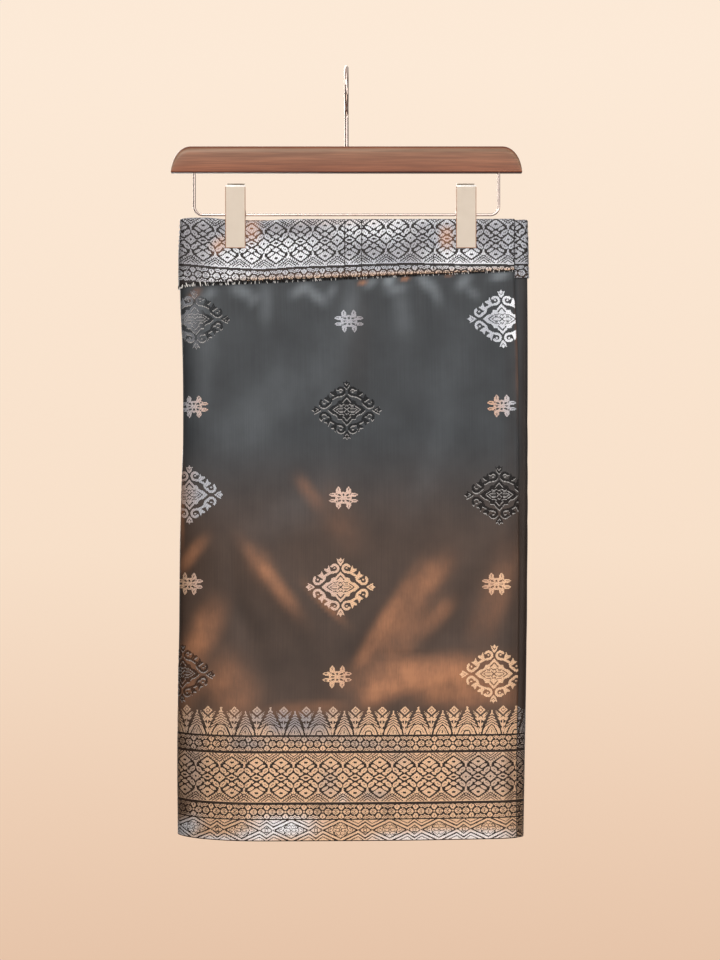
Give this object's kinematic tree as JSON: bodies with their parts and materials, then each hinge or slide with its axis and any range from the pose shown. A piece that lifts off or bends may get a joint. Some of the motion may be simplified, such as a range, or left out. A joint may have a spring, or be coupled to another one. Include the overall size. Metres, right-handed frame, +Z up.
{
  "type": "samping wrap hanging from a wooden clip hanger",
  "caption": "Folded songket waist wrap with a patterned waistband and hem border, held by the clips of a wooden hanger with a wire hook.",
  "frame": {"origin": "inside top of the hook, where it sits on a rail", "axes": "+Z up, +X to the right seen from the front, +Y away from the viewer, so the flap faces -Y"},
  "size_m": [0.3885, 0.0542, 0.8366],
  "materials": {
    "satin": "dark shot satin weave with a soft coppery sheen and raised metallic motifs",
    "brocade": "close songket brocade in silver and copper metal thread on a dark ground",
    "walnut": "dark walnut, satin varnish",
    "rose_wire": "polished rose-silver plating",
    "clip_sheet": "champagne satin plating",
    "spring_steel": "bright spring steel"
  },
  "bodies": {
    "root": {"front_ground": "satin", "front_border": "brocade", "left_fold_ground": "satin", "left_fold_border": "brocade", "back_ground": "satin", "back_border": "brocade", "right_fold_ground": "satin", "right_fold_border": "brocade", "under_ground": "satin", "under_border": "brocade", "waistband_front": "brocade", "waistband_back": "brocade", "waistband_under": "brocade", "hanger_bar": "walnut", "hook": "rose_wire", "wire_frame": "rose_wire", "clip_left_front": "clip_sheet", "clip_left_back": "clip_sheet", "clip_left_spring": "spring_steel", "clip_right_front": "clip_sheet", "clip_right_back": "clip_sheet", "clip_right_spring": "spring_steel"}
  },
  "joints": []
}
